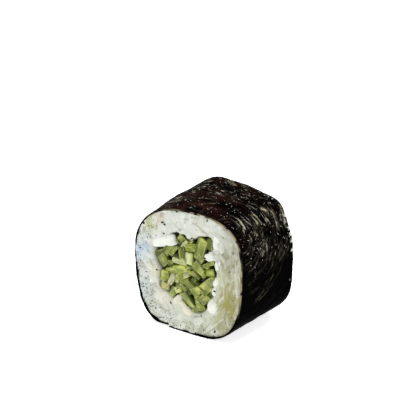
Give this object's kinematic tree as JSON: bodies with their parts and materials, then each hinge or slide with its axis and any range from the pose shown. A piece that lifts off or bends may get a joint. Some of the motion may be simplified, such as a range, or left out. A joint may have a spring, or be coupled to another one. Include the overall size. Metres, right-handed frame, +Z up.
{
  "type": "cucumber sushi roll piece",
  "caption": "One cut piece of a cucumber sushi roll: a nori sheet wrapped round pressed rice, with a core of chopped cucumber showing at both cut faces.",
  "frame": {"origin": "middle of the flat strip that the roll lies on, below the middle of its length", "axes": "+Y along the roll's axis from the front cut face to the back one, +X to the right seen from the front, +Z up"},
  "size_m": [0.038, 0.026, 0.0382],
  "materials": {
    "nori": "thin pressed seaweed, near black, moist and glossy with fine swirling fibres",
    "rice": "pressed cooked rice, translucent off-white, sticky and softly grained",
    "cucumber_flesh": "fresh cut cucumber flesh, pale to lime green, wet",
    "cucumber_rind": "cucumber cut with its dark green skin on, wet"
  },
  "bodies": {
    "root": {"nori_sheet": "nori", "rice_bed": "rice", "cucumber_strip_01": "cucumber_flesh", "cucumber_strip_02": "cucumber_flesh", "cucumber_strip_03": "cucumber_rind", "cucumber_strip_04": "cucumber_flesh", "cucumber_strip_05": "cucumber_flesh", "cucumber_strip_06": "cucumber_flesh", "cucumber_strip_07": "cucumber_flesh", "cucumber_strip_08": "cucumber_rind", "cucumber_strip_09": "cucumber_flesh", "cucumber_strip_10": "cucumber_flesh", "cucumber_strip_11": "cucumber_flesh", "cucumber_strip_12": "cucumber_flesh", "cucumber_strip_13": "cucumber_rind", "cucumber_strip_14": "cucumber_flesh", "cucumber_strip_15": "cucumber_flesh", "cucumber_strip_16": "cucumber_flesh", "cucumber_strip_17": "cucumber_flesh", "cucumber_strip_18": "cucumber_rind", "cucumber_strip_19": "cucumber_flesh", "cucumber_strip_20": "cucumber_flesh", "cucumber_strip_21": "cucumber_flesh", "cucumber_strip_22": "cucumber_flesh", "cucumber_front_bit_01": "cucumber_flesh", "cucumber_front_bit_02": "cucumber_flesh", "cucumber_front_bit_03": "cucumber_rind", "cucumber_front_bit_04": "cucumber_flesh", "cucumber_front_bit_05": "cucumber_flesh", "cucumber_front_bit_06": "cucumber_flesh", "cucumber_front_bit_07": "cucumber_flesh", "cucumber_front_bit_08": "cucumber_rind", "cucumber_front_bit_09": "cucumber_flesh", "cucumber_front_bit_10": "cucumber_flesh", "cucumber_front_bit_11": "cucumber_flesh", "cucumber_front_bit_12": "cucumber_flesh", "cucumber_front_bit_13": "cucumber_rind", "cucumber_front_bit_14": "cucumber_flesh", "cucumber_front_bit_15": "cucumber_flesh", "cucumber_front_bit_16": "cucumber_flesh", "cucumber_front_bit_17": "cucumber_flesh", "cucumber_back_bit_01": "cucumber_flesh", "cucumber_back_bit_02": "cucumber_flesh", "cucumber_back_bit_03": "cucumber_rind", "cucumber_back_bit_04": "cucumber_flesh", "cucumber_back_bit_05": "cucumber_flesh", "cucumber_back_bit_06": "cucumber_flesh", "cucumber_back_bit_07": "cucumber_flesh", "cucumber_back_bit_08": "cucumber_rind", "cucumber_back_bit_09": "cucumber_flesh", "cucumber_back_bit_10": "cucumber_flesh", "cucumber_back_bit_11": "cucumber_flesh", "cucumber_back_bit_12": "cucumber_flesh", "cucumber_back_bit_13": "cucumber_rind", "cucumber_back_bit_14": "cucumber_flesh", "cucumber_back_bit_15": "cucumber_flesh", "cucumber_back_bit_16": "cucumber_flesh", "cucumber_back_bit_17": "cucumber_flesh"}
  },
  "joints": []
}
